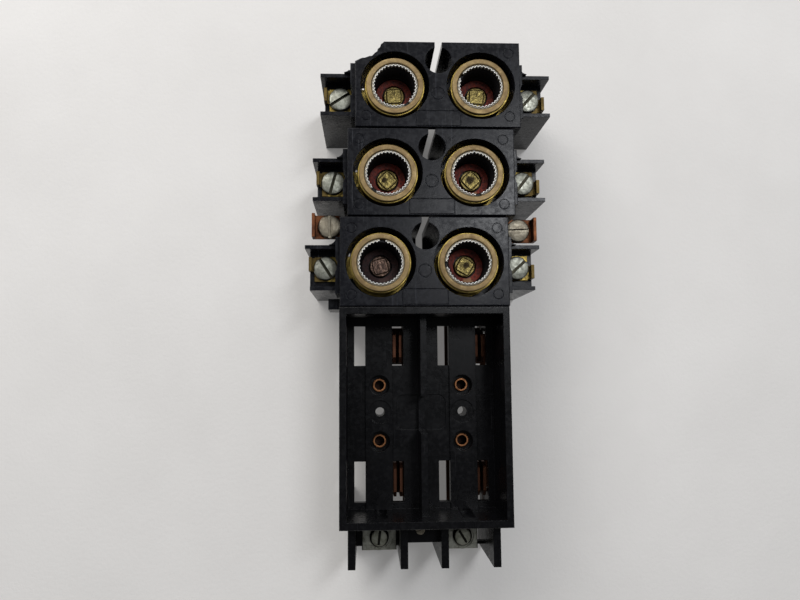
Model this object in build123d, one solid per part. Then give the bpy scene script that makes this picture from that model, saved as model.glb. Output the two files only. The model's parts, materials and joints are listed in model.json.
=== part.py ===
from build123d import *
from math import atan2, cos, degrees, hypot, pi, sin
import os

# Plug-fuse block with an empty pull-out base, lying on its back.
# +Z is the front of the block, +Y its plug-fuse end, +X its right-hand side.
# The origin is the middle of the block's footprint, on the surface it lies on.

# Overall sizes
FACE_Z = 70.0  # front faces above the back of the fins
CASE_W = 87.2  # width of every moulding at its front face
PULL_LEN = 111.0  # length of the pull-out housing
MODULE_LEN = 46.3  # length of one plug-fuse module
MODULE_PITCH = 47.0
SKEW = 3.95  # sideways step from each module to the next
PLATE_T = 4.2  # front plate of a module
WALL_T = 3.0  # outer walls of a module
FIN_REACH = 62.5  # terminal fins, from a module's centre line
END_FIN_REACH = 23.4  # lug fins beyond the pull-out's end wall

# Where the mouldings stand
PULL_X = -4.3
PULL_Y = -58.525
MODULES = [
    (PULL_X + 0.35 + k * SKEW, PULL_Y + 78.8 + k * MODULE_PITCH) for k in (2, 1, 0)
]

# Fixing keyhole of a module, from its centre
KEYHOLE_X = 0.4
KEYHOLE_Y = 13.15
KEYHOLE_R = 7.15
KEYHOLE_FLOOR_Z = 24.0

# Fuse sockets
SOCKET_X = 22.7
SOCKET_Y = -0.5
WELL_R = 18.15
WELL_WALL_R = 20.2
WELL_FLOOR_Z = 46.0
THREAD_PITCH = 3.63  # medium screw base

# Terminals
TERM_X = 52.0
TERM_Y = -0.9
SHELF_TOP_Z = 46.0
STRAP_T = 1.6
HEAD_R = 6.4
SHANK_R = 2.4
RUNNING_CLEARANCE = 0.05

# Tap terminals, from the pull-out's centre
TAPS = {-1: (-49.9, 102.0), 1: (54.5, 99.8)}

# Line lugs, from the pull-out's centre line
LUG_X = {-1: -23.2, 1: 22.5}
LUG_HALF_W = {-1: 9.5, 1: 8.4}
LUG_Y = -67.7

# Small screw in the middle block of the line end
CENTRE_SCREW = (-1.5, -61.5)

# Pull-out tray
FLOOR_Z = 36.5
FLOOR_UNDER_Z = 32.5
TRAY_W = 80.2
TRAY_LEN = 103.4
RIB_TOP_Z = 58.3
SLOT_X = (12.6, 33.6)
SLOT_Y = 36.85
SLOT_W = 6.1
SLOT_LEN = 21.8
FLOOR_MID_Y = -0.4
RIVET_X = 22.75
RIVET_Y = 15.2
MOUNT_X = 22.6
MOUNT_Y = 0.4
MOUNT_R = 2.5
COPPER_T = 1.6
PLATE_Z = 12.0  # underside of the copper plates below the jaws
BUS_Z = 22.0  # top of the bus bars, against the backs of the modules


def slab(x0, x1, y0, y1, z0, z1):
    size = Box(abs(x1 - x0), abs(y1 - y0), abs(z1 - z0))
    return Pos((x0 + x1) / 2, (y0 + y1) / 2, (z0 + z1) / 2) * size


def post(x, y, z0, z1, r):
    return Pos(x, y, (z0 + z1) / 2) * Cylinder(r, z1 - z0)


def prism(points, z0, z1):
    outline = make_face(Polyline(*points, close=True))
    return Pos(0, 0, z0) * extrude(outline, z1 - z0)


def turned(points):
    """A solid of revolution about Z from (radius, height) points."""
    profile = Plane.XZ * make_face(Polyline(*points, close=True))
    return revolve(profile, Axis.Z)


def ring_groove(x, y, r, width, depth, z):
    return post(x, y, z - depth, z + 1, r) - post(x, y, z - depth - 1, z + 2, r - width)


def thread_wave(r_trough, r_crest, z0, z1):
    """Points up the side of a rolled thread."""
    points = []
    turns = int((z1 - z0) / THREAD_PITCH)
    start = z0 + (z1 - z0 - turns * THREAD_PITCH) / 2
    for turn in range(turns):
        base = start + turn * THREAD_PITCH
        points.append((r_trough, base + 0.15 * THREAD_PITCH))
        points.append((r_crest, base + 0.4 * THREAD_PITCH))
        points.append((r_crest, base + 0.6 * THREAD_PITCH))
        points.append((r_trough, base + 0.85 * THREAD_PITCH))
    return points


def slotted_head(r, z0, z1, angle, slot_w=1.5, slot_depth=1.3):
    head = post(0, 0, z0, z1, r)
    head = fillet(head.edges().sort_by(Axis.Z)[-1], 1.1)
    slot = slab(-r - 1, r + 1, -slot_w / 2, slot_w / 2, z1 - slot_depth, z1 + 1)
    return head - Rot(0, 0, angle) * slot


# --- module housings -------------------------------------------------------


def module_shell():
    """Front plate, outer walls, socket wells and keyhole tube, open at the back."""
    half_w = CASE_W / 2
    half_l = MODULE_LEN / 2
    shell = slab(-half_w, half_w, -half_l, half_l, 22, FACE_Z)
    shell = fillet(shell.edges().group_by(Axis.Z)[-1], 0.5)
    in_w = half_w - WALL_T
    in_l = half_l - WALL_T
    shell -= slab(-in_w, in_w, -in_l, in_l, 21, FACE_Z - PLATE_T)
    # the lower end wall stops short of the middle, where the next slot comes in
    shell -= slab(-6, 6, -half_l - 1, -in_l + 1, 21, FACE_Z - PLATE_T)
    for side in (-1, 1):
        shell += post(side * SOCKET_X, SOCKET_Y, WELL_FLOOR_Z - 3, FACE_Z - 1, WELL_WALL_R)
        shell += post(side * SOCKET_X, SOCKET_Y, 22, WELL_FLOOR_Z, 6.5)
    shell += post(KEYHOLE_X, KEYHOLE_Y, 22, FACE_Z - 1, KEYHOLE_R + 1.5)
    return shell


def terminal_wing(side):
    """Shoulder, leg, barrier fin and terminal shelf on one side of a module."""
    wing = slab(side * 42.6, side * 46.2, -16.0, 13.6, 22, 64)
    wing += slab(side * 42.6, side * 46.2, -12.6, 13.6, 0, 64)
    wing += slab(side * 46, side * FIN_REACH, 8.4, 10.4, 0, 57.5)
    wing += slab(side * 46, side * 60.6, -10.9, 8.6, 40, SHELF_TOP_Z)
    cove = slab(side * 46, side * 49.6, 10.3, 13.6, 0, 60)
    return wing + cove - post(side * 49.8, 14.0, -1, 61, 3.6)


def module_body():
    half_l = MODULE_LEN / 2
    body = module_shell()
    for side in (-1, 1):
        body += terminal_wing(side)
        body -= post(side * SOCKET_X, SOCKET_Y, WELL_FLOOR_Z, FACE_Z + 1, WELL_R)
        body -= post(side * SOCKET_X, SOCKET_Y, 21, 47, SHANK_R + RUNNING_CLEARANCE)
        # the strap's way out of the well, and the screw's hole in the shelf
        body -= slab(side * 38, side * 47, -6.4, 8.3, WELL_FLOOR_Z, 50.5)
        body -= slab(side * 38.9, side * 40.6, 6.2, 8.2, 39, WELL_FLOOR_Z + 1)
        body -= post(side * TERM_X, TERM_Y, 39, 47, SHANK_R + RUNNING_CLEARANCE)
        body -= post(side * TERM_X, TERM_Y, SHELF_TOP_Z, 65, HEAD_R + 0.5)
        for row in (-17.2, 17.2):
            body -= ring_groove(side * 37.7, row, 2.75, 0.35, 0.25, FACE_Z)
    # keyhole: a deep round hole with a slot right through to the top edge
    body -= post(KEYHOLE_X, KEYHOLE_Y, KEYHOLE_FLOOR_Z, FACE_Z + 1, KEYHOLE_R)
    body -= slab(KEYHOLE_X - 1.9, KEYHOLE_X + 1.9, KEYHOLE_Y, half_l + 1, 21, FACE_Z + 1)
    # sunk outline of the name panel and the plain ring above it
    panel = slab(-11.9, 11.9, -22.6, -14.2, FACE_Z - 0.3, FACE_Z + 1)
    panel -= slab(-11.5, 11.5, -22.2, -14.6, FACE_Z - 1, FACE_Z + 2)
    body -= panel
    body -= ring_groove(0, -5.0, 3.5, 0.4, 0.25, FACE_Z)
    return body


def lower_fins(reach, y, bottom_z=0.0):
    fins = Part()
    for side in (-1, 1):
        fins += slab(side * 46, side * reach, y, y + 2, bottom_z, 57.5)
    return fins


def broken_corner():
    """The piece that has snapped off the last module's corner, along the well's wall."""
    edge = [(-27.6, 24.0), (-28.7, 22.4), (-29.9, 21.5), (-30.4, 19.9), (-31.6, 18.9)]
    edge += [(-31.9, 17.6), (-33.3, 16.6), (-34.6, 15.1), (-36.2, 14.9), (-38.4, 14.0)]
    edge += [(-39.9, 13.9), (-41.4, 13.2), (-42.6, 12.5), (-44.5, 11.8)]
    upper = prism(edge + [(-50, 11.8), (-50, 30), (-27.6, 30)], 60, FACE_Z + 1)
    deeper = [(x + 0.7, y - 0.3) for x, y in edge]
    deeper = prism(deeper + [(-50, 11.5), (-50, 30), (-26.9, 30)], 46, 60.5)
    return upper + deeper


def module_housing(number):
    body = module_body()
    if number == 3:
        body += lower_fins(59.8, -13.7)
        body += slab(-50.5, -43.0, -MODULE_LEN / 2, -17.5, 30, 50)
    else:
        body += lower_fins(FIN_REACH, -12.7)
    if number == 1:
        body -= broken_corner()
        body += slab(-46.2, -42.6, 9.0, 13.6, 22, 64)
    return body


# --- sockets ---------------------------------------------------------------


def screw_shell(side):
    """Brass screw shell with its foot ring and the strap to the side terminal."""
    outer = thread_wave(14.0, 14.6, 48.2, 65.4)
    inner = [(r - 0.7, z) for r, z in outer]
    points = [(14.0, 46.0)] + outer + [(14.0, 65.9), (15.6, 66.1), (15.9, 66.4)]
    points += [(15.9, 66.7), (15.6, 67.0), (13.5, 67.0), (13.3, 66.4)]
    points += inner[::-1] + [(13.3, 47.6), (9, 47.6), (9, 46)]
    shell = turned(points)
    foot = post(0, 0, 46, 47.6, 16) - post(0, 0, 45, 49, 13.9)
    out = TERM_X - SOCKET_X
    y = TERM_Y - SOCKET_Y
    top = 46 + STRAP_T
    tongue = slab(side * 13.6, side * (out - 4.8), -5.8, 6.0, 46, top)
    pad = slab(side * (out - 5.4), side * (out + 6.0), y + side * 7.0, y - side * 6.4, 46, top)
    arm = slab(side * (out + 5.8), side * (out + 8.9), y + side * 1.6, y - side * 5.8, 46, top)
    tab = slab(side * (out + 7.3), side * (out + 8.9), y + side * 1.6, y - side * 5.8, 46, 52)
    strap = tongue + pad + arm + tab - post(side * out, y, 45, 49, 2.7)
    return shell + foot + strap


def adapter_shell():
    """Brass one-way adapter body with its wide top flange."""
    points = [(12.6, 49.0)] + thread_wave(12.6, 13.0, 49.2, 66.6) + [(12.7, 67.6)]
    points += [(14.7, 67.6), (15.05, 67.9), (15.05, 68.4), (14.7, 68.85)]
    points += [(13.7, 69.0), (12.7, 68.6), (12.4, 68.2), (12.15, 67.0), (12.15, 49.0)]
    return turned(points)


def wavy_ring(r_middle, swing, count):
    """Closed outline that waves in and out around a circle."""
    points = []
    for step in range(count * 4):
        a = 2 * pi * step / (count * 4)
        r = r_middle + swing * cos(count * a)
        points.append((r * cos(a), r * sin(a)))
    return points


def adapter_ring(gap_angle):
    """Split corrugated spring strip standing in a shallow plain collar."""
    channel = post(0, 0, 66.5, 68.4, 12.05) - post(0, 0, 66.8, 69, 11.85)
    channel -= post(0, 0, 66, 69, 10.75)
    strip = prism(wavy_ring(11.37, 0.22, 36), 66.7, 68.9)
    strip -= prism(wavy_ring(10.93, 0.22, 36), 66, 69.5)
    gap = slab(10, 12, -1.6, 1.6, 66.8, 69.5)
    return channel + (strip - Rot(0, 0, gap_angle) * gap)


def adapter_core():
    """Black moulded liner, a stepped cup with a hole for the contact."""
    cup = post(0, 0, 49, 66.5, 12.05) - post(0, 0, 54.5, 67, 10.6)
    return cup - post(0, 0, 51.5, 55, 10.05) - post(0, 0, 48, 52, 3.1)


def adapter_disc():
    disc = post(0, 0, 51.5, 53, 9.9) - post(0, 0, 51, 54, 6.3)
    return disc - slab(7.4, 11, -2.6, 2.6, 51, 54)


def contact_button():
    """Centre contact: a stem through the liner and a head with a raised square."""
    stem = post(0, 0, 48, 51.6, 3.0)
    head = post(0, 0, 51.5, 53.6, 5.75)
    head = fillet(head.edges().sort_by(Axis.Z)[-1], 0.4)
    raised = slab(-3.9, 3.9, -3.9, 3.9, 53.5, 54.2)
    raised = fillet(raised.edges().filter_by(Axis.Z), 1.6)
    return stem + head + raised


def contact_rivet():
    """Ties the bus bar to the socket bottom; its button meets the adapter."""
    return post(0, 0, 17.8, 20.4, 5.0) + post(0, 0, 20, 47, SHANK_R) + post(0, 0, 46, 48, 4.5)


# --- screws ----------------------------------------------------------------


def terminal_screw(angle, head_z):
    """Binding-head screw whose head sits on the strap at head_z."""
    head = slotted_head(HEAD_R, head_z, head_z + 3.2, angle)
    return head + post(0, 0, head_z - 12, head_z + 0.5, SHANK_R)


def lug_screw(angle):
    """Headless clamping screw with a bevelled, slotted end."""
    body = turned([(0, 28.6), (5.2, 28.6), (5.2, 32.0), (4.1, 33.4), (0, 33.4)])
    slot = slab(-6, 6, -0.8, 0.8, 32.0, 35)
    return body - Rot(0, 0, angle) * slot


# --- pull-out housing ------------------------------------------------------


def pullout_housing():
    half_w = CASE_W / 2
    half_l = PULL_LEN / 2
    case = slab(-half_w, half_w, -half_l, half_l, 20, FACE_Z)
    case = fillet(case.edges().group_by(Axis.Z)[-1], 0.6)
    case -= slab(-TRAY_W / 2, TRAY_W / 2, -TRAY_LEN / 2, TRAY_LEN / 2, FLOOR_Z, FACE_Z + 1)
    case -= slab(-TRAY_W / 2, TRAY_W / 2, -half_l - 1, half_l + 1, 19, FLOOR_UNDER_Z)
    # scalloped pockets in the end walls
    for sx in (-1, 1):
        for sy in (-1, 1):
            case -= post(sx * 22.5, sy * 50.4, FLOOR_Z, 62, 3.6)
            case += slab(sx * 37.5, sx * half_w, sy * 45, sy * half_l, 0, FLOOR_UNDER_Z + 1)
    recess = slab(-13.5, 13.5, -9.5, 9.5, FLOOR_Z - 0.5, FLOOR_Z + 1)
    case -= fillet(recess.edges().filter_by(Axis.Z), 4)
    # centre rib, lowered over its middle
    case += slab(-1.7, 1.7, -TRAY_LEN / 2 - 1, TRAY_LEN / 2 + 1, FLOOR_Z - 1, RIB_TOP_Z)
    case -= slab(-2, 2, -9.5, 9.5, 41.5, RIB_TOP_Z + 1)
    for side in (-1, 1):
        case += slab(side * 15.7, side * 30.5, -52, 52, FLOOR_Z - 1, FLOOR_Z + 1.5)
        for sy in (-1, 1):
            y = FLOOR_MID_Y + sy * RIVET_Y
            case += post(side * RIVET_X, y, 26, FLOOR_Z, 7.0)
            case -= post(side * RIVET_X, y, 32.4, 40, 5.5)
            case -= post(side * RIVET_X, y, 25, 33, 3.0)
            for x in SLOT_X:
                slot_y = FLOOR_MID_Y + sy * SLOT_Y
                case -= slab(
                    side * (x - SLOT_W / 2),
                    side * (x + SLOT_W / 2),
                    slot_y - SLOT_LEN / 2,
                    slot_y + SLOT_LEN / 2,
                    FLOOR_UNDER_Z - 1,
                    FLOOR_Z + 3,
                )
        case += post(side * MOUNT_X, MOUNT_Y, 22, FLOOR_Z, 6.3)
        case -= post(side * MOUNT_X, MOUNT_Y, FLOOR_Z + 0.7, 40, 6.25)
        case -= post(side * MOUNT_X, MOUNT_Y, 21, 40, MOUNT_R)
    return case


def line_end_barriers():
    """Four fins beyond the line end, the two lug shelves and the middle block."""
    end_y = -PULL_LEN / 2
    barriers = Part()
    for side in (-1, 1):
        barriers += slab(side * 12, side * 36.2, -75, -60.5, 16, 20)
        for x in (10.6, 37.8):
            barriers += slab(
                side * (x - 1.95), side * (x + 1.95), end_y - END_FIN_REACH, end_y, 0, 53
            )
    barriers -= slab(32.3, 35.85, -73.4, -60, 15, 21)
    # block between the middle fins, drilled for the small screw
    barriers += slab(-9, 9, -68.3, end_y, 30, 42)
    return barriers - post(*CENTRE_SCREW, 34, 43, 1.5)


# --- copper under the tray -------------------------------------------------


def jaw_copper(pole, end):
    """Rivet foot, riser, lower plate and the two leaves of one blade jaw.

    pole is -1 or 1 for the left or right pole, end is -1 or 1 for line or load.
    """
    x_lo, x_hi = (-29.0, -7.6) if pole < 0 else (16.0, 37.2)
    jaw_x = -SLOT_X[0] if pole < 0 else SLOT_X[1]
    rivet_x = pole * RIVET_X
    y0 = FLOOR_MID_Y

    def band(x0, x1, near, far, z0, z1):
        return slab(x0, x1, y0 + end * near, y0 + end * far, z0, z1)

    foot = band(rivet_x - 6, rivet_x + 6, 9.5, 23.6, 26 - COPPER_T, 26)
    riser = band(rivet_x - 6, rivet_x + 6, 22, 23.6, PLATE_Z, 26)
    plate = band(x_lo, x_hi, 22, 53.8, PLATE_Z, PLATE_Z + COPPER_T)
    copper = foot + riser + plate
    copper -= post(rivet_x, y0 + end * RIVET_Y, 20, 27, 2.9)
    if pole > 0:
        copper += band(x_hi - 0.1, 41.9, 22, 44.4, PLATE_Z, PLATE_Z + COPPER_T)
    # clear below both ends of the blade slot
    far_edge = 47.9 if end > 0 else 46.6
    for near, far in ((21, 26.8), (far_edge, 55)):
        copper -= band(jaw_x - 3.3, jaw_x + 3.3, near, far, PLATE_Z - 1, PLATE_Z + 3)
    for side in (-1, 1):
        inner = jaw_x + side * 0.9
        outer = jaw_x + side * 2.5
        leaf = band(inner, outer, SLOT_Y - 9.2, SLOT_Y + 9.2, PLATE_Z + 0.5, 32.3)
        nose = leaf.edges().filter_by(Axis.X).group_by(Axis.Z)[-1]
        copper += chamfer(nose, 3.0)
    return copper


def line_strap(pole):
    copper = jaw_copper(pole, -1)
    x = LUG_X[pole]
    copper += slab(x - 6, x + 6, -58.6, -54, PLATE_Z, PLATE_Z + COPPER_T)
    copper += slab(x - 6, x + 6, -59.6, -58.0, PLATE_Z, 21.6)
    copper += slab(x - 9.5, x + 9.5, -74.0, -58.0, 20.0, 20.0 + COPPER_T)
    return copper


def bar(x0, y0, x1, y1, width, z0, z1):
    """Flat bar along the line from one point to the other."""
    length = hypot(x1 - x0, y1 - y0)
    turn = degrees(atan2(y1 - y0, x1 - x0))
    middle = Pos((x0 + x1) / 2, (y0 + y1) / 2, (z0 + z1) / 2)
    return middle * Rot(0, 0, turn) * Box(length, width, z1 - z0)


def bus_bar(pole):
    """Load-side jaw with the bar that follows the row of sockets, and its tap arm."""
    copper = jaw_copper(pole, 1)
    sockets = [(x - PULL_X + pole * SOCKET_X, y - PULL_Y + SOCKET_Y) for x, y in MODULES]
    (far_x, far_y), (near_x, near_y) = sockets[0], sockets[2]
    lean = (far_x - near_x) / (far_y - near_y)
    x_start = near_x - lean * (near_y - 58)
    copper += slab(x_start - 6, x_start + 6, 53, 58.6, PLATE_Z, PLATE_Z + COPPER_T)
    copper += slab(x_start - 6, x_start + 6, 57.0, 58.6, PLATE_Z, BUS_Z)
    start = (near_x - lean * (near_y - 57.3), 57.3)
    end = (far_x + lean * 9, far_y + 9)
    copper += bar(*start, *end, 12, BUS_Z - COPPER_T, BUS_Z)
    for x, y in sockets:
        copper -= post(x, y, 19, 23, SHANK_R + RUNNING_CLEARANCE)
    # tap arm out to the side terminal between two modules
    tap_x, tap_y = TAPS[pole]
    bar_x = near_x + lean * (tap_y - near_y)
    rise_x = tap_x - pole * 5.2
    copper += slab(bar_x, rise_x, tap_y - 5.5, tap_y + 5.5, BUS_Z - COPPER_T, BUS_Z)
    copper += slab(rise_x - 0.8, rise_x + 0.8, tap_y - 5.5, tap_y + 5.5, BUS_Z - COPPER_T, 41.6)
    shelf = slab(rise_x - pole * 0.8, tap_x + pole * 9.4, tap_y - 6.5, tap_y + 6.5, 40, 41.6)
    tab = slab(tap_x + pole * 7.8, tap_x + pole * 9.4, tap_y - 6.5, tap_y + 6.5, 40, 48.5)
    nut = slab(tap_x - 4.5, tap_x + 4.5, tap_y - 4.5, tap_y + 4.5, 36.4, 40.2)
    copper += shelf + tab + nut
    return copper - post(tap_x, tap_y, 30, 50, SHANK_R + RUNNING_CLEARANCE)


def lug_block(half_w):
    """Tinned box lug with a wire hole, a round boss and a tapped hole for its screw."""
    block = slab(-half_w, half_w, -6.9, 6.3, 21.6, 31.4)
    block = fillet(block.edges().group_by(Axis.Z)[-1], 0.6)
    block += post(0, 0, 21.6, 31.4, 6.9)
    wire = Pos(0, 0, 25.2) * Rot(90, 0, 0) * Cylinder(3.2, 20)
    block -= post(0, 0, 30.3, 33, 6.2)
    return block - wire - post(0, 0, 25.2, 33, 5.2 + RUNNING_CLEARANCE)


def tubular_rivet():
    """Copper semi-tubular rivet: rolled rim in the counterbore and a lower collar."""
    points = [(0, 23.2), (4.2, 23.2), (4.2, 24.4), (2.85, 24.4), (2.85, 32.4)]
    points += [(3.85, 32.4), (3.85, 33.3), (3.4, 33.7), (2.65, 33.7), (2.65, 25.0), (0, 25.0)]
    return turned(points)


def small_screw():
    head = post(0, 0, 42, 43.4, 2.5)
    slot = slab(-3, 3, -0.35, 0.35, 42.8, 44)
    return head - Rot(0, 0, 20) * slot + post(0, 0, 34.5, 42.2, 1.5)


# --- the block -------------------------------------------------------------

SCREW_ANGLES = {
    (1, -1): 33,
    (1, 1): 48,
    (2, -1): 75,
    (2, 1): 52,
    (3, -1): -55,
    (3, 1): 42,
}
RING_GAPS = {
    (1, -1): -57,
    (1, 1): 150,
    (2, -1): -129,
    (2, 1): -80,
    (3, -1): 85,
    (3, 1): 185,
}
CONTACT_TURNS = {
    (1, -1): 20,
    (1, 1): 8,
    (2, -1): 45,
    (2, 1): 50,
    (3, -1): 15,
    (3, 1): 62,
}
SIDES = {-1: "left", 1: "right"}


def build():
    base = Pos(PULL_X, PULL_Y, 0)
    parts = {"pullout_housing": base * pullout_housing()}
    parts["line_end_barriers"] = base * line_end_barriers()
    rivets = []
    for number, (mx, my) in enumerate(MODULES, start=1):
        parts[f"module_{number}_housing"] = Pos(mx, my, 0) * module_housing(number)
        for side, word in SIDES.items():
            tag = f"{number}_{word}"
            socket = Pos(mx + side * SOCKET_X, my + SOCKET_Y, 0)
            turn = Rot(0, 0, CONTACT_TURNS[number, side])
            parts[f"screw_shell_{tag}"] = socket * screw_shell(side)
            parts[f"adapter_shell_{tag}"] = socket * adapter_shell()
            parts[f"adapter_ring_{tag}"] = socket * adapter_ring(RING_GAPS[number, side])
            parts[f"adapter_core_{tag}"] = socket * adapter_core()
            notch = Rot(0, 0, -70 if side > 0 else -40)
            parts[f"adapter_disc_{tag}"] = socket * notch * adapter_disc()
            parts[f"contact_button_{tag}"] = socket * turn * contact_button()
            screw = terminal_screw(SCREW_ANGLES[number, side], SHELF_TOP_Z + STRAP_T)
            parts[f"terminal_screw_{tag}"] = Pos(mx + side * TERM_X, my + TERM_Y, 0) * screw
            rivets.append(socket * contact_rivet())
    parts["contact_rivets"] = Compound(children=rivets)

    eyelets = []
    for side, word in SIDES.items():
        parts[f"line_strap_{word}"] = base * line_strap(side)
        parts[f"bus_bar_{word}"] = base * bus_bar(side)
        tap_x, tap_y = TAPS[side]
        parts[f"tap_screw_{word}"] = base * Pos(tap_x, tap_y, 0) * terminal_screw(
            90 if side < 0 else 2, 41.6
        )
        lug = base * Pos(LUG_X[side], LUG_Y, 0)
        parts[f"line_lug_{word}"] = lug * lug_block(LUG_HALF_W[side])
        parts[f"lug_screw_{word}"] = lug * lug_screw(85 if side < 0 else -50)
        for sy in (-1, 1):
            spot = Pos(side * RIVET_X, FLOOR_MID_Y + sy * RIVET_Y, 0)
            eyelets.append(base * spot * tubular_rivet())
    parts["tubular_rivets"] = Compound(children=eyelets)
    parts["centre_screw"] = base * Pos(*CENTRE_SCREW, 0) * small_screw()
    return parts


os.makedirs("parts", exist_ok=True)
for name, shape in build().items():
    export_step(shape, f"parts/{name}.step")
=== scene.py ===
import json
import math

import bmesh
import bpy
from mathutils import Euler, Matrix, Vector, noise


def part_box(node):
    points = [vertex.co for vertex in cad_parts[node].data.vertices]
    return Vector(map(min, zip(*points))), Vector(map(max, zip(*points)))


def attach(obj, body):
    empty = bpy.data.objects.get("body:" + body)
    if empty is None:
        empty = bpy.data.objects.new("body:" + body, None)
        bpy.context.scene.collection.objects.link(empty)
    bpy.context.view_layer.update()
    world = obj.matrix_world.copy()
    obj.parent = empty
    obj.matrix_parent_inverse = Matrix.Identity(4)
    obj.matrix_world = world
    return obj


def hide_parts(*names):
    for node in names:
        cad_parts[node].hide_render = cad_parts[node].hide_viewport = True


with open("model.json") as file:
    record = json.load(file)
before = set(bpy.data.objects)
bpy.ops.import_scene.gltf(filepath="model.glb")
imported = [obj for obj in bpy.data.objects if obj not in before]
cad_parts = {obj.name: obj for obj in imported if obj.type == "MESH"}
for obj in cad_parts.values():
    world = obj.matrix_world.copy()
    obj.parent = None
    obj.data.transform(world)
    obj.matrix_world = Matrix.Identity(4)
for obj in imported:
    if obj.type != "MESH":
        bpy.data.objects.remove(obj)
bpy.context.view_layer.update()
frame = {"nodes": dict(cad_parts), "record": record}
MM = 0.001

# Heights in millimetres, shared by the pieces of every fuse socket
SOCKET_FOOT_Z = 49.2  # lower end of the spun adapter body
DISC_Z = (51.55, 53.0)  # fibre disc
STRIP_Z = (66.7, 68.86)  # spring strip
CUP_Z = (49.0, 51.5)  # floor of the liner
CONTACT_Z = (51.6, 53.62, 54.12)  # foot, face and raised panel of a contact


# --- node graphs -------------------------------------------------------------


class Graph:
    """A material with one principled shader and short calls for its nodes."""

    def __init__(self, name, **values):
        self.material = bpy.data.materials.new(name)
        self.material.use_nodes = True
        self.tree = self.material.node_tree
        self.tree.nodes.clear()
        output = self.tree.nodes.new("ShaderNodeOutputMaterial")
        self.shader = self.tree.nodes.new("ShaderNodeBsdfPrincipled")
        self.link(self.shader.outputs[0], output.inputs[0])
        for socket, value in values.items():
            self.shader.inputs[socket.replace("_", " ")].default_value = value
        self.coords = self.tree.nodes.new("ShaderNodeTexCoord").outputs["Object"]

    def link(self, source, target):
        self.tree.links.new(source, target)

    def feed(self, target, value):
        if isinstance(value, bpy.types.NodeSocket):
            self.link(value, target)
        else:
            target.default_value = value

    def node(self, kind, inputs=None, **props):
        made = self.tree.nodes.new(kind)
        for key, value in props.items():
            setattr(made, key, value)
        for key, value in (inputs or {}).items():
            self.feed(made.inputs[key], value)
        return made

    def math(self, operation, a, b=0.0, clamp=False):
        made = self.node("ShaderNodeMath", {0: a, 1: b}, operation=operation)
        made.use_clamp = clamp
        return made.outputs[0]

    def mapping(self, scale=(1, 1, 1), turn=(0, 0, 0), shift=(0, 0, 0), source=None):
        inputs = {0: source or self.coords, 1: shift, 2: turn, 3: scale}
        return self.node("ShaderNodeMapping", inputs).outputs[0]

    def noise(self, scale, detail=3.0, rough=0.5, vector=None, warp=0.0):
        inputs = {
            "Vector": vector or self.coords,
            "Scale": scale,
            "Detail": detail,
            "Roughness": rough,
            "Distortion": warp,
        }
        return self.node("ShaderNodeTexNoise", inputs).outputs[0]

    def steps(self, value, low, high, out_low=0.0, out_high=1.0):
        inputs = {0: value, 1: low, 2: high, 3: out_low, 4: out_high}
        return self.node("ShaderNodeMapRange", inputs).outputs[0]

    def mix(self, factor, a, b, blend="MIX"):
        made = self.node("ShaderNodeMix", data_type="RGBA", blend_type=blend)
        self.feed(made.inputs[0], factor)
        for index, value in ((6, a), (7, b)):
            if isinstance(value, tuple) and len(value) == 3:
                value = (*value, 1.0)
            self.feed(made.inputs[index], value)
        return made.outputs[2]

    def bump(self, height, strength, distance, normal=None):
        inputs = {"Height": height, "Strength": strength, "Distance": distance}
        if normal is not None:
            inputs["Normal"] = normal
        return self.node("ShaderNodeBump", inputs).outputs[0]

    def edges(self, radius):
        """Normal with softened edges, and a mask that is 1 along the edges."""
        soft = self.node("ShaderNodeBevel", {"Radius": radius}, samples=4).outputs[0]
        flat = self.node("ShaderNodeNewGeometry").outputs["True Normal"]
        made = self.node("ShaderNodeVectorMath", {0: soft, 1: flat}, operation="DOT_PRODUCT")
        mask = self.steps(made.outputs["Value"], 0.995, 0.8)
        return soft, mask

    def scratches(self, turn, width, length, low, high, shift=(0, 0, 0)):
        lines = self.mapping((1 / width, 1 / length, 1 / length), (0, 0, turn), shift)
        field = self.noise(1.0, 1.0, 0.4, lines, 0.15)
        return self.steps(field, low, high)

    def finish(self, color, roughness, normal):
        self.feed(self.shader.inputs["Base Color"], color)
        self.feed(self.shader.inputs["Roughness"], roughness)
        self.feed(self.shader.inputs["Normal"], normal)
        return self.material


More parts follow.
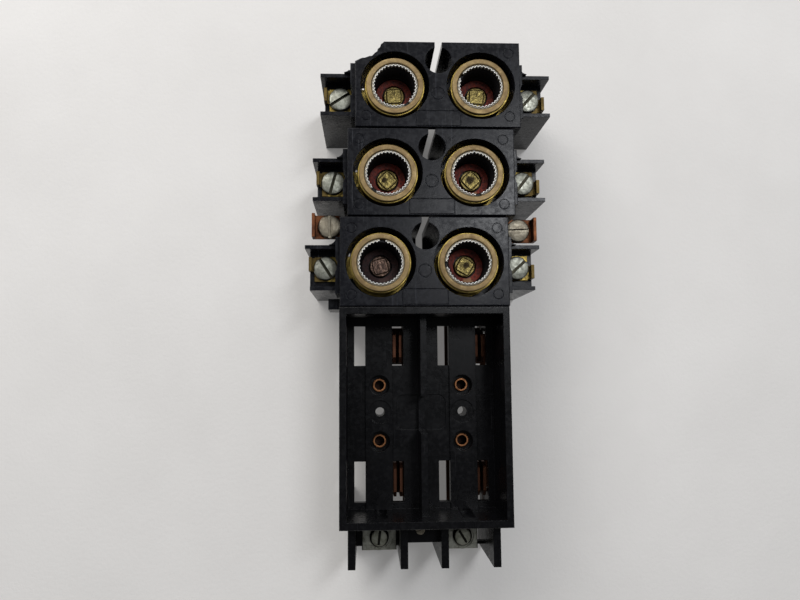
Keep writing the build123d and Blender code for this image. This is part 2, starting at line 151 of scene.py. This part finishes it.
def phenolic(name, tone, lift, shine, wear, seed, gloss=0.25):
    """Black moulded phenolic: faint clouds, scuffs, stray scratches and paler edges."""
    g = Graph(name, Specular_IOR_Level=gloss, IOR=1.5)
    shift = (seed * 0.37, seed * 0.61, seed * 0.19)
    moved = g.mapping(shift=shift)
    soft, edge = g.edges(0.0004)
    clouds = g.noise(55, 5, 0.6, moved, 0.8)
    mottle = g.noise(420, 4, 0.65, moved, 0.3)
    grain = g.noise(2600, 2, 0.6, moved)
    speck = g.steps(g.noise(760, 3, 0.7, moved), 0.68, 0.75)
    scuff = g.steps(g.noise(70, 7, 0.72, moved, 1.1), 0.56, 0.8)
    scuff = g.math("MULTIPLY", scuff, wear)
    lines = 0.0
    for turn, width, length, low in (
        (0.5, 0.0007, 0.03, 0.72),
        (-0.9, 0.0005, 0.02, 0.73),
        (1.9, 0.0008, 0.035, 0.73),
    ):
        more = g.scratches(turn, width, length, low, low + 0.05, (seed, turn, 0))
        lines = g.math("MAXIMUM", lines, more)
    lines = g.math("MULTIPLY", lines, wear)
    chipped = g.steps(g.noise(210, 4, 0.7, moved), 0.4, 0.7, 0.1, 1.0)
    worn_edge = g.math("MULTIPLY", edge, chipped)
    dark = tuple(c * 0.7 for c in tone)
    color = g.mix(g.steps(clouds, 0.3, 0.7), dark, tone)
    color = g.mix(g.steps(mottle, 0.5, 0.75, 0.0, 0.3), color, lift)
    color = g.mix(g.math("MULTIPLY", scuff, 0.6), color, lift)
    color = g.mix(g.math("MULTIPLY", speck, 0.5), color, tuple(c * 2.4 for c in lift))
    color = g.mix(g.math("MULTIPLY", lines, 0.5), color, tuple(c * 1.8 for c in lift))
    color = g.mix(g.math("MULTIPLY", worn_edge, 0.6), color, tuple(c * 1.7 for c in lift))
    rough = g.steps(clouds, 0.3, 0.7, shine, shine + 0.1)
    rough = g.math("ADD", rough, g.steps(mottle, 0.45, 0.7, -0.04, 0.1))
    rough = g.math("ADD", rough, g.math("MULTIPLY", scuff, 0.12))
    rough = g.math("ADD", rough, g.math("MULTIPLY", lines, 0.1), clamp=True)
    height = g.math("ADD", g.math("MULTIPLY", grain, 0.3), g.math("MULTIPLY", mottle, 0.8))
    height = g.math("ADD", height, g.math("MULTIPLY", clouds, 2.0))
    height = g.math("SUBTRACT", height, g.math("MULTIPLY", lines, 0.7))
    return g.finish(color, rough, g.bump(height, 0.35, 0.00008, soft))


def metal(
    name,
    tone,
    tarnish,
    shine,
    stain_size,
    seed,
    spots=0.5,
    edge_lift=1.25,
    brown=None,
    shade_below=None,
    metallic=1.0,
):
    """Handled sheet metal: tarnish clouds, spots, fine brushing and brighter edges.

    brown colours the parts farther than a given distance from the middle plane X = 0. The next
    argument paints shade: it darkens the parts lower than a given height, over a given blend: (height,
    blend, color).
    """
    g = Graph(name, Metallic=metallic)
    shift = (seed * 0.53, seed * 0.29, seed * 0.71)
    moved = g.mapping(shift=shift)
    soft, edge = g.edges(0.00025)
    clouds = g.noise(stain_size, 5, 0.62, moved, 0.7)
    pits = g.steps(g.noise(1400, 3, 0.7, moved), 0.6, 0.74)
    brushed = g.noise(1.0, 3, 0.6, g.mapping((300, 4200, 900), (0, 0, seed), shift))
    lines = g.scratches(seed * 1.3, 0.00025, 0.012, 0.66, 0.73, shift)
    stain = g.steps(clouds, 0.42, 0.68)
    color = g.mix(g.math("MULTIPLY", stain, 0.85), tone, tarnish)
    color = g.mix(g.math("MULTIPLY", pits, spots), color, tuple(c * 0.45 for c in tarnish))
    bright = tuple(min(1.0, c * edge_lift) for c in tone)
    color = g.mix(g.math("MULTIPLY", edge, 0.6), color, bright)
    color = g.mix(g.math("MULTIPLY", lines, 0.35), color, bright)
    parts = g.node("ShaderNodeSeparateXYZ", {0: g.coords}).outputs
    if brown:
        far = g.steps(g.math("ABSOLUTE", parts[0]), brown[0], brown[0] + 0.0006)
        color = g.mix(g.math("MULTIPLY", far, g.steps(clouds, 0.3, 0.6, 0.95, 0.75)), color, brown[1])
    # Painted shade: the parts lower than the given height are darkened.
    if shade_below:
        color = g.mix(g.steps(parts[2], shade_below[0] + shade_below[1], shade_below[0]), color, shade_below[2])
    rough = g.steps(clouds, 0.3, 0.75, shine, shine + 0.25)
    rough = g.math("ADD", rough, g.steps(brushed, 0.3, 0.7, -0.05, 0.07), clamp=True)
    height = g.math("ADD", g.math("MULTIPLY", brushed, 0.5), g.math("MULTIPLY", clouds, 0.5))
    height = g.math("SUBTRACT", height, g.math("MULTIPLY", lines, 0.6))
    return g.finish(color, rough, g.bump(height, 0.4, 0.00005, soft))


def polar(g):
    """Distance from a piece's own axis in metres, and the angle round it from local +X."""
    parts = g.node("ShaderNodeSeparateXYZ", {0: g.coords}).outputs
    flat = g.node("ShaderNodeCombineXYZ", {0: parts[0], 1: parts[1]}).outputs[0]
    reach = g.node("ShaderNodeVectorMath", {0: flat}, operation="LENGTH").outputs["Value"]
    return reach, g.math("ARCTAN2", parts[1], parts[0])


def fibre(name, tone, dark, patch, seed):
    """Vulcanised fibre washer: matt and mottled, with one bare tan patch at local +X."""
    g = Graph(name, Specular_IOR_Level=0.25)
    moved = g.mapping(shift=(seed, seed * 0.4, 0))
    mottle = g.noise(420, 5, 0.7, moved, 0.5)
    blotch = g.noise(900, 3, 0.6, moved)
    hairs = g.scratches(seed, 0.00012, 0.0016, 0.62, 0.72)
    color = g.mix(g.steps(mottle, 0.36, 0.66), dark, tone)
    color = g.mix(g.steps(blotch, 0.52, 0.62, 0.0, 0.85), color, tuple(c * 0.6 for c in dark))
    color = g.mix(g.math("MULTIPLY", hairs, 0.35), color, tuple(c * 1.5 for c in tone))
    reach, angle = polar(g)
    ragged = g.math("ADD", g.math("ABSOLUTE", angle), g.steps(mottle, 0.3, 0.7, -0.12, 0.12))
    inside = g.steps(ragged, 0.36, 0.28)
    color = g.mix(g.math("MULTIPLY", inside, g.steps(reach, 0.0063, 0.0069)), color, patch)
    rough = g.steps(mottle, 0.3, 0.7, 0.6, 0.85)
    return g.finish(color, rough, g.bump(g.math("ADD", mottle, hairs), 0.5, 0.00008))


def stamped(name, tone, tarnish, stain, seed):
    """Stamped brass contact: painted shade in its pressed outline and on its side, dents and a burnt
    stain.
    """
    g = Graph(name, Metallic=0.85)
    moved = g.mapping(shift=(seed * 0.7, seed * 0.2, 0))
    clouds = g.noise(520, 5, 0.65, moved, 0.9)
    spots = g.steps(g.noise(1500, 4, 0.7, moved), 0.52, 0.68)
    outline_shade = g.node("ShaderNodeAttribute", attribute_name="outline_shade").outputs["Fac"]
    burnt = g.node("ShaderNodeAttribute", attribute_name="burnt").outputs["Fac"]
    color = g.mix(g.steps(clouds, 0.4, 0.65), tone, tarnish)
    color = g.mix(g.math("MULTIPLY", spots, 0.55), color, tuple(c * 0.4 for c in tarnish))
    scorch = g.steps(g.math("ADD", burnt, g.math("MULTIPLY", clouds, 0.7)), 0.75, 0.95)
    color = g.mix(g.math("MULTIPLY", scorch, 0.9), color, stain)
    # Painted shade in the pressed outline and on the side of the head.
    color = g.mix(g.math("MULTIPLY", outline_shade, 0.9), color, (0.028, 0.018, 0.008))
    rough = g.math("ADD", g.steps(clouds, 0.3, 0.7, 0.3, 0.5), g.math("MULTIPLY", burnt, 0.2))
    height = g.math("ADD", clouds, g.math("MULTIPLY", spots, 0.6))
    return g.finish(color, rough, g.bump(height, 0.5, 0.00008))


def turned_brass(name, tone, tarnish, seed):
    """Spun brass flange: fine rings round its own axis, tan tarnish, pink spots, painted shade on its
    rolled outer edge.
    """
    g = Graph(name, Metallic=0.7)
    reach, angle = polar(g)
    rings = g.node("ShaderNodeCombineXYZ", {0: reach, 1: g.math("MULTIPLY", angle, 0.0006)})
    lathe_marks = g.noise(9000, 2, 0.6, rings.outputs[0])
    moved = g.mapping(shift=(seed, seed * 0.3, 0))
    clouds = g.noise(210, 5, 0.65, moved, 0.7)
    pink = g.steps(g.noise(760, 4, 0.7, moved), 0.58, 0.7)
    color = g.mix(g.steps(clouds, 0.38, 0.66), tone, tarnish)
    color = g.mix(g.math("MULTIPLY", pink, 0.4), color, (0.22, 0.11, 0.08))
    color = g.mix(g.steps(lathe_marks, 0.5, 0.8, 0.0, 0.3), color, tuple(c * 1.25 for c in tone))
    # Painted shade on the rolled outer edge of the flange.
    color = g.mix(g.steps(reach, 0.01475, 0.01505, 0.0, 0.6), color, (0.07, 0.045, 0.02))
    rough = g.steps(clouds, 0.3, 0.7, 0.42, 0.58)
    height = g.math("ADD", g.math("MULTIPLY", lathe_marks, 0.6), clouds)
    return g.finish(color, rough, g.bump(height, 0.35, 0.00005))


def foam_floor():
    g = Graph("floor_pale", Specular_IOR_Level=0.2)
    clouds = g.noise(9, 4, 0.6)
    color = g.mix(g.steps(clouds, 0.3, 0.7), (0.60, 0.585, 0.57), (0.66, 0.645, 0.63))
    grain = g.noise(420, 4, 0.6)
    cells = g.steps(g.noise(900, 3, 0.7), 0.3, 0.7, 0.92, 1.0)
    color = g.mix(1.0, color, g.mix(cells, (0.9, 0.9, 0.9), (1.0, 1.0, 1.0)), "MULTIPLY")
    # The floor glows a little: painted light that brightens the floor under the object, standing in for
    # light through the foam.
    g.feed(g.shader.inputs["Emission Color"], (1.0, 0.985, 0.965, 1.0))
    g.feed(g.shader.inputs["Emission Strength"], 0.135)
    return g.finish(color, 0.85, g.bump(grain, 0.3, 0.0006))


TERMINAL_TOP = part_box("terminal_screw_1_left")[1][2]
MATERIALS = {
    "tray_phenolic": phenolic(
        "tray_phenolic",
        tone=(0.0030, 0.0030, 0.0038),
        lift=(0.012, 0.012, 0.014),
        shine=0.26,
        wear=0.5,
        seed=3,
        gloss=0.16,
    ),
    "module_phenolic": phenolic(
        "module_phenolic",
        tone=(0.0050, 0.0053, 0.0078),
        lift=(0.019, 0.0205, 0.027),
        shine=0.23,
        wear=0.9,
        seed=8,
        gloss=0.15,
    ),
    "liner_black": phenolic(
        "liner_black",
        tone=(0.0045, 0.0042, 0.005),
        lift=(0.010, 0.010, 0.011),
        shine=0.42,
        wear=0.3,
        seed=5,
        gloss=0.2,
    ),
    "shell_brass": metal(
        "shell_brass",
        tone=(0.42, 0.31, 0.085),
        tarnish=(0.17, 0.12, 0.04),
        shine=0.36,
        stain_size=160,
        seed=2,
        brown=(0.0545, (0.038, 0.025, 0.014)),
    ),
    "flange_brass": turned_brass(
        "flange_brass", tone=(0.23, 0.165, 0.074), tarnish=(0.15, 0.10, 0.045), seed=4
    ),
    "ring_plated": metal(
        "ring_plated",
        tone=(0.93, 0.93, 0.90),
        tarnish=(0.72, 0.70, 0.64),
        shine=0.34,
        stain_size=300,
        seed=6,
        spots=0.1,
        # Painted shade: the strip is darkened below its crest.
        shade_below=(0.0685, 0.0002, (0.26, 0.235, 0.185)),
        metallic=0.35,
    ),
    "fibre_red": fibre(
        "fibre_red",
        tone=(0.29, 0.050, 0.030),
        dark=(0.085, 0.024, 0.022),
        patch=(0.30, 0.16, 0.085),
        seed=1.0,
    ),
    "fibre_brown": fibre(
        "fibre_brown",
        tone=(0.055, 0.026, 0.024),
        dark=(0.022, 0.012, 0.013),
        patch=(0.05, 0.026, 0.022),
        seed=2.0,
    ),
    "contact_brass": stamped(
        "contact_brass",
        tone=(0.23, 0.18, 0.058),
        tarnish=(0.085, 0.065, 0.024),
        stain=(0.025, 0.017, 0.009),
        seed=7,
    ),
    "contact_dark": stamped(
        "contact_dark",
        tone=(0.12, 0.075, 0.055),
        tarnish=(0.05, 0.033, 0.027),
        stain=(0.02, 0.014, 0.012),
        seed=9,
    ),
    "screw_zinc": metal(
        "screw_zinc",
        tone=(0.31, 0.315, 0.27),
        tarnish=(0.12, 0.12, 0.098),
        shine=0.32,
        stain_size=330,
        seed=11,
        spots=0.7,
        edge_lift=1.5,
        # The slot floors are darkened for grime and painted shade, and the sides of the heads and the
        # shanks for painted shade.
        shade_below=(TERMINAL_TOP - 0.0016, 0.0003, (0.03, 0.028, 0.02)),
    ),
    "screw_nickel": metal(
        "screw_nickel",
        tone=(0.30, 0.27, 0.21),
        tarnish=(0.16, 0.135, 0.10),
        shine=0.36,
        stain_size=330,
        seed=12,
    ),
    "lug_metal": metal(
        "lug_metal",
        tone=(0.36, 0.36, 0.31),
        tarnish=(0.10, 0.095, 0.075),
        shine=0.34,
        stain_size=240,
        seed=13,
        spots=0.7,
    ),
    "lug_screw_metal": metal(
        "lug_screw_metal",
        tone=(0.34, 0.34, 0.28),
        tarnish=(0.15, 0.15, 0.115),
        shine=0.38,
        stain_size=300,
        seed=14,
        # Painted shade: the screw is darkened below 32.5 mm, where it sits down in its hole.
        shade_below=(0.0325, 0.0005, (0.022, 0.021, 0.017)),
    ),
    "copper": metal(
        "copper",
        tone=(0.15, 0.058, 0.026),
        tarnish=(0.055, 0.026, 0.018),
        shine=0.4,
        stain_size=170,
        seed=15,
        # Painted shade: copper lower than 34 mm, down in the slots, is darkened.
        shade_below=(0.034, 0.003, (0.095, 0.042, 0.025)),
    ),
    "rivet_copper": metal(
        "rivet_copper",
        tone=(0.34, 0.155, 0.07),
        tarnish=(0.13, 0.06, 0.033),
        shine=0.36,
        stain_size=300,
        seed=16,
        # Painted shade: the rivets are darkened below 30.5 mm, sunk in their counterbores.
        shade_below=(0.0305, 0.003, (0.022, 0.013, 0.010)),
    ),
}

SLOT_OF = {entry["node"]: entry["material_slot"] for entry in frame["record"]["subparts"]}
for node, obj in frame["nodes"].items():
    obj.data.materials.clear()
    obj.data.materials.append(MATERIALS[SLOT_OF[node]])

# Screws, each a body of its own, with the direction of its slot in degrees
SLOT_ANGLE = {
    "terminal_screw_1_left": 33,
    "terminal_screw_1_right": 48,
    "terminal_screw_2_left": 75,
    "terminal_screw_2_right": 52,
    "terminal_screw_3_left": -57,
    "terminal_screw_3_right": 42,
    "tap_screw_left": 90,
    "tap_screw_right": 2,
    "lug_screw_left": 83,
    "lug_screw_right": -58,
}

# --- piece building ----------------------------------------------------------


def piece(name, verts, faces, node, place, turn=0.0, sharp=40, marks=None):
    """Object in millimetres round its own axis, standing for a CAD node.

    It rides on the body that carries the node. marks maps an attribute's name to one value
    for each vertex.
    """
    mesh = bpy.data.meshes.new(name)
    mesh.from_pydata([tuple(c * MM for c in v) for v in verts], [], faces)
    for word, values in (marks or {}).items():
        mesh.attributes.new(word, "FLOAT", "POINT").data.foreach_set("value", values)
    shape = bmesh.new()
    shape.from_mesh(mesh)
    bmesh.ops.remove_doubles(shape, verts=shape.verts, dist=2e-6)
    bmesh.ops.dissolve_degenerate(shape, edges=shape.edges, dist=1e-6)
    bmesh.ops.recalc_face_normals(shape, faces=shape.faces)
    shape.to_mesh(mesh)
    shape.free()
    mesh.shade_smooth()
    mesh.set_sharp_from_angle(angle=math.radians(sharp))
    slot = SLOT_OF[node]
    mesh.materials.append(MATERIALS[slot])
    made = bpy.data.objects.new(name, mesh)
    bpy.context.scene.collection.objects.link(made)
    made.location = place
    made.rotation_euler = (0, 0, math.radians(turn))
    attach(made, node if node in SLOT_ANGLE else "block")
    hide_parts(node)


def lathe(profile, steps=96, wobble=0.0, seed=0.0):
    """Closed surface of revolution through (radius, height) points."""
    verts = []
    faces = []
    count = len(profile)
    for step in range(steps):
        a = 2 * math.pi * step / steps
        for r, z in profile:
            sway = wobble * noise.noise(Vector((math.cos(a) * 2, math.sin(a) * 2, z * 0.4 + seed)))
            verts.append(((r + sway) * math.cos(a), (r + sway) * math.sin(a), z))
    for step in range(steps):
        ahead = (step + 1) % steps
        for i in range(count):
            j = (i + 1) % count
            faces.append(
                (step * count + i, ahead * count + i, ahead * count + j, step * count + j)
            )
    return verts, faces


def joined(*shapes):
    verts = []
    faces = []
    for more_verts, more_faces in shapes:
        base = len(verts)
        verts += more_verts
        faces += [tuple(base + i for i in face) for face in more_faces]
    return verts, faces


def rounded(points, passes=2):
    """Open outline with its corners cut back."""
    for _ in range(passes):
        cut = [points[0]]
        for (r0, z0), (r1, z1) in zip(points, points[1:]):
            cut.append((r0 * 0.75 + r1 * 0.25, z0 * 0.75 + z1 * 0.25))
            cut.append((r0 * 0.25 + r1 * 0.75, z0 * 0.25 + z1 * 0.75))
        points = cut + [points[-1]]
    return points


def thread(r_root, r_crest, z0, z1, pitch):
    """Side of a screw thread as rounded waves, from bottom to top."""
    points = [(r_root, z0)]
    turns = int((z1 - z0) / pitch)
    for turn in range(turns):
        base = z0 + turn * (z1 - z0) / turns
        points.append((r_root, base + 0.12 * pitch))
        points.append((r_crest, base + 0.38 * pitch))
        points.append((r_crest, base + 0.62 * pitch))
        points.append((r_root, base + 0.88 * pitch))
    return rounded(points + [(r_root, z1)], 1)


def slotted_top(r, top, dome, bevel, slot_w, slot_depth, base_z, seed):
    """Domed, slotted screw end, built in rows that run along the slot (local X)."""
    half = slot_w / 2
    side = [half + (r * 0.999 - half) * math.sin(math.pi / 2 * k / 12) for k in range(13)]
    rows = [(-v, False) for v in reversed(side)]
    rows += [(v, True) for v in (-half, -half * 0.9, half * 0.9, half)]
    rows += [(v, False) for v in side]
    columns = [math.sin(math.pi / 2 * (k / 16 - 1)) for k in range(33)]
    verts = []
    for v, sunk in rows:
        reach = math.sqrt(max(r * r - v * v, 0.0))
        for s in columns:
            u = s * reach
            rho = math.hypot(u, v) / r
            z = top - dome * rho**2.4 - bevel * max(0.0, (rho - 0.93) / 0.07) ** 2
            z += 0.06 * noise.noise(Vector((u * 0.9, v * 0.9, seed)))
            burr = math.exp(-(((abs(v) - half) / 0.25) ** 2))
            z += 0.07 * burr * noise.noise(Vector((u * 1.7, v, seed + 5)))
            if sunk:
                z = top - slot_depth + 0.04 * noise.noise(Vector((u * 2.0, v * 2.0, seed)))
            verts.append((u, v, z))
    wide = len(columns)
    faces = []
    for row in range(len(rows) - 1):
        for k in range(wide - 1):
            low = row * wide + k
            faces.append((low, low + 1, low + wide + 1, low + wide))
    rim = [row * wide + wide - 1 for row in range(len(rows))]
    rim += [row * wide for row in reversed(range(len(rows)))]
    foot = len(verts)
    verts += [(verts[i][0], verts[i][1], base_z) for i in rim]
    for k in range(len(rim)):
        n = (k + 1) % len(rim)
        faces.append((rim[k], rim[n], foot + n, foot + k))
    faces.append(tuple(foot + k for k in range(len(rim))))
    return verts, faces


def centre_of(node):
    low, high = (Vector(corner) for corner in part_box(node))
    return (low + high) / 2, low, high


# --- fuse sockets ------------------------------------------------------------

RING_GAP = {"1_left": -57, "1_right": 150, "2_left": -129, "2_right": -80, "3_left": 85, "3_right": 185}
RING_CREST = {"1_left": 113, "1_right": 155, "2_left": 26, "2_right": 90, "3_left": 200, "3_right": 5}
CONTACT_TURN = {"1_left": 3, "1_right": -3, "2_left": 45, "2_right": 45, "3_left": 15, "3_right": 60}
BARE_PATCH = {"1_left": -75, "1_right": -78, "2_left": -47, "2_right": -80, "3_left": -75, "3_right": -80}
BURNT_SPOT = {"2_left": (-1.2, 1.1, 1.7), "2_right": (0.1, 0.3, 2.7), "3_right": (0.8, -0.4, 2.1)}


def flange_profile(z):
    """Spun body whose rolled flange ends at the height z."""
    lip = [(12.15, z - 2.0), (12.25, z - 0.8), (12.4, z - 0.12), (13.0, z - 0.02)]
    lip += [(14.7, z - 0.05), (15.04, z - 0.2), (15.04, z - 1.1), (14.6, z - 1.38), (12.8, z - 1.42)]
    side = thread(12.6, 13.0, SOCKET_FOOT_Z, z - 2.4, 3.63)
    return [(12.15, SOCKET_FOOT_Z)] + rounded(lip) + side[::-1]


def spring_strip(gap, crest):
    """Split corrugated collar: waves inside, smooth outside, one bulge towards the flange."""
    waves = 36
    steps = waves * 8
    foot, top = STRIP_Z
    collar_top = 68.2
    verts = []
    faces = []
    for step in range(steps + 1):
        a = 2 * math.pi * step / steps
        degrees = (math.degrees(a) + 180) % 360 - 180
        off = (degrees - (crest - gap) + 180) % 360 - 180
        bulge = 0.4 * math.exp(-((off / 4.5) ** 2))
        wave = 0.33 * math.cos(waves * a) + 0.05 * noise.noise(Vector((a * 5, gap, 0)))
        r = 11.05 + wave + bulge
        lift = 0.10 * noise.noise(Vector((a * 3, gap, 4)))
        section = (
            (r - 0.12, foot),
            (r - 0.12, top - 0.12 + lift),
            (r, top + lift),
            (r + 0.2, top + lift),
            (r + 0.3, top - 0.36 + lift),
            (max(r + 0.4, 11.9), collar_top),
            (12.1, collar_top),
            (12.1, foot),
        )
        for radius, z in section:
            verts.append((radius * math.cos(a), radius * math.sin(a), z))
    sides = len(section)
    open_steps = 6
    for step in range(open_steps, steps - open_steps):
        near, ahead = step * sides, (step + 1) * sides
        for i in range(sides):
            j = (i + 1) % sides
            faces.append((near + i, ahead + i, ahead + j, near + j))
    for step in (open_steps, steps - open_steps):
        faces.append(tuple(step * sides + i for i in range(sides)))
    return verts, faces


def contact_head(tag, seed):
    """Contact head with a raised rounded square inside a pressed outline."""
    foot_z, face_z, panel_z = CONTACT_Z
    head_r = 5.72
    panel_half = 3.75
    corner_r = 1.3
    burnt_x, burnt_y, burnt_r = BURNT_SPOT.get(tag, (0.0, 0.0, 0.0))
    rings = 46
    spokes = 96
    verts = []
    outline_shades = []
    burns = []
    for ring in range(rings + 1):
        r = head_r * ring / rings
        for spoke in range(spokes):
            a = 2 * math.pi * spoke / spokes
            x, y = r * math.cos(a), r * math.sin(a)
            inner = panel_half - corner_r
            corner = math.hypot(max(abs(x) - inner, 0), max(abs(y) - inner, 0))
            outside = corner - corner_r if corner > 0 else max(abs(x), abs(y)) - panel_half
            z = panel_z if outside < 0 else face_z
            z -= 0.22 * max(0.0, 1 - ((outside - 0.2) / 0.22) ** 2)
            z -= 0.5 * max(0.0, (r - 5.1) / 0.62) ** 2
            z += 0.10 * noise.noise(Vector((x * 0.8, y * 0.8, seed)))
            z += 0.04 * noise.noise(Vector((x * 2.2, y * 2.2, seed)))
            verts.append((x, y, min(z, panel_z + 0.07)))
            spot = math.hypot(x - burnt_x, y - burnt_y)
            # Painted shade in the pressed outline.
            outline_shades.append(max(0.0, 1 - ((outside - 0.18) / 0.3) ** 2))
            burns.append(max(0.0, min(1.0, 1.3 - spot / burnt_r)) if burnt_r else 0.0)
    faces = []
    for ring in range(rings):
        low = ring * spokes
        for spoke in range(spokes):
            n = (spoke + 1) % spokes
            faces.append((low + spoke, low + n, low + spokes + n, low + spokes + spoke))
    edge = rings * spokes
    foot = len(verts)
    verts += [(x, y, foot_z) for x, y, _ in verts[edge : edge + spokes]]
    # Painted shade on the side of the head.
    outline_shades += [0.6] * spokes
    burns += [0.0] * spokes
    for spoke in range(spokes):
        n = (spoke + 1) % spokes
        faces.append((edge + spoke, edge + n, foot + n, foot + spoke))
    faces.append(tuple(foot + spoke for spoke in range(spokes)))
    return verts, faces, {"outline_shade": outline_shades, "burnt": burns}


def fuse_socket(tag, seed):
    middle, _, high = centre_of(f"adapter_shell_{tag}")
    place = (middle.x, middle.y, 0)
    flange = lathe(flange_profile(high.z / MM), 144, 0.06, seed)
    piece(f"flange_{tag}", *flange, f"adapter_shell_{tag}", place, seed * 47)
    strip = spring_strip(RING_GAP[tag], RING_CREST[tag])
    piece(f"spring_{tag}", *strip, f"adapter_ring_{tag}", place, RING_GAP[tag])
    foot, floor_z = CUP_Z
    cup = [(3.1, foot), (3.1, floor_z), (10.05, floor_z), (10.05, 54.3)]
    cup += thread(10.45, 10.05, 54.6, 65.6, 1.55)
    cup += [(10.62, 66.1), (10.8, 66.5), (11.95, 66.5), (12.05, 66.3), (12.05, foot)]
    piece(f"liner_{tag}", *lathe(cup, 120), f"adapter_core_{tag}", place)
    low, top = DISC_Z
    washer = [(6.3, low), (6.3, top - 0.1), (6.45, top), (9.7, top), (9.85, top - 0.15), (9.85, low)]
    disc = lathe(washer, 96, 0.05, seed)
    piece(f"washer_{tag}", *disc, f"adapter_disc_{tag}", place, BARE_PATCH[tag])
    verts, faces, marks = contact_head(tag, seed)
    piece(
        f"contact_{tag}",
        verts,
        faces,
        f"contact_button_{tag}",
        place,
        CONTACT_TURN[tag],
        sharp=180,
        marks=marks,
    )


# --- screws ------------------------------------------------------------------


def binding_screw(node, seed):
    """Wide slotted head on a threaded shank, for the terminals and the taps."""
    middle, low, high = centre_of(node)
    top = high.z / MM
    foot = low.z / MM
    under = foot + 12.0
    head = slotted_top(
        r=6.38,
        top=top - 0.03,
        dome=0.7,
        bevel=0.45,
        slot_w=1.6,
        slot_depth=1.9,
        base_z=under + 0.02,
        seed=seed,
    )
    shank = lathe([(0.0, foot)] + thread(1.95, 2.38, foot, under, 0.85) + [(0.0, under)], 40)
    place = (middle.x, middle.y, 0)
    piece(f"{node}_worn", *joined(head, shank), node, place, SLOT_ANGLE[node])


def clamping_screw(node, seed):
    """Headless slotted screw of a line lug."""
    middle, low, high = centre_of(node)
    top = high.z / MM
    foot = low.z / MM
    end = slotted_top(
        r=4.3,
        top=top - 0.03,
        dome=0.12,
        bevel=0.1,
        slot_w=1.3,
        slot_depth=1.2,
        base_z=top - 1.3,
        seed=seed,
    )
    bevel = [(3.9, top - 0.25), (4.15, top - 0.2), (5.15, top - 1.45)]
    grip = thread(4.75, 5.18, foot, top - 1.5, 1.0)
    stem = lathe([(0.0, foot)] + grip + bevel[::-1] + [(3.9, top - 1.25), (0.0, top - 1.3)], 72)
    place = (middle.x, middle.y, 0)
    piece(f"{node}_worn", *joined(end, stem), node, place, SLOT_ANGLE[node])


for number in (1, 2, 3):
    for word in ("left", "right"):
        fuse_socket(f"{number}_{word}", number * 2.3 + len(word) * 0.37)
for order, node in enumerate(SLOT_ANGLE):
    build_screw = clamping_screw if node.startswith("lug") else binding_screw
    build_screw(node, order * 3.1)

# --- floor, light and camera -------------------------------------------------

reach = 1.6
corners = [(-reach, -reach, 0), (reach, -reach, 0), (reach, reach, 0), (-reach, reach, 0)]
ground = bpy.data.meshes.new("floor")
ground.from_pydata(corners, [], [(0, 1, 2, 3)])
floor = bpy.data.objects.new("floor", ground)
bpy.context.scene.collection.objects.link(floor)
ground.materials.append(foam_floor())


def area_light(name, place, target, size, power, color=(1, 1, 1)):
    data = bpy.data.lights.new(name, "AREA")
    data.shape = "RECTANGLE"
    data.size, data.size_y = size
    data.energy = power
    data.color = color
    lamp = bpy.data.objects.new(name, data)
    bpy.context.scene.collection.objects.link(lamp)
    lamp.location = place
    aim = Vector(target) - Vector(place)
    lamp.rotation_euler = aim.to_track_quat("-Z", "Y").to_euler()


area_light("key_above", (-0.40, 0.80, 0.80), (-0.02, 0.1, 0), (0.9, 0.6), 8.8, (1.0, 0.985, 0.965))
area_light("sheen_right", (0.37, 0.40, 1.35), (0.03, 0.08, 0), (0.2, 0.5), 6.5, (0.95, 0.97, 1.0))
area_light("fill_left", (-0.9, 0.5, 0.8), (-0.1, 0.1, 0), (0.9, 0.9), 2.1, (1.0, 0.98, 0.95))
area_light("fill_right", (0.95, 0.4, 0.75), (0.1, 0.1, 0), (0.9, 0.9), 1.2, (0.96, 0.98, 1.0))
world = bpy.data.worlds.new("studio")
world.use_nodes = True
world.node_tree.nodes["Background"].inputs[0].default_value = (0.95, 0.97, 1.0, 1)
world.node_tree.nodes["Background"].inputs[1].default_value = 0.165
bpy.context.scene.world = world

camera_data = bpy.data.cameras.new("camera")
camera_data.sensor_width = 36
camera_data.lens = 31.503
camera_data.clip_start = 0.01
camera = bpy.data.objects.new("camera", camera_data)
bpy.context.scene.collection.objects.link(camera)
camera.location = (-0.0337, -0.033875, 0.42455)
camera.rotation_euler = Euler(
    (math.radians(5.5051), math.radians(-2.6592), math.radians(-0.44244))
)
bpy.context.scene.camera = camera
bpy.context.scene.view_settings.view_transform = "Standard"
